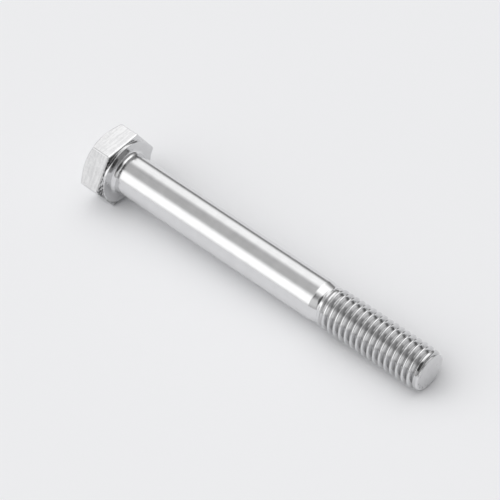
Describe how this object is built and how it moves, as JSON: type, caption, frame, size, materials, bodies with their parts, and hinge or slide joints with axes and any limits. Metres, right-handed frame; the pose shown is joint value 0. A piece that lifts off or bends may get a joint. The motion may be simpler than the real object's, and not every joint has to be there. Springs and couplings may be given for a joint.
{
  "type": "hex bolt",
  "caption": "Partly threaded hexagon head bolt with a chamfered head, forged washer face, plain shank, rolled right-hand thread and chamfered point.",
  "frame": {"origin": "Centre of the outer face of the hexagon head, on the bolt axis.", "axes": "+X along the bolt axis from the head to the point, +Z square to one wrench flat, +Y toward a hexagon corner."},
  "size_m": [0.0753, 0.015, 0.013],
  "materials": {
    "steel": "bright cold-formed stainless steel, plain"
  },
  "bodies": {
    "root": {"hex_bolt": "steel"}
  },
  "joints": []
}
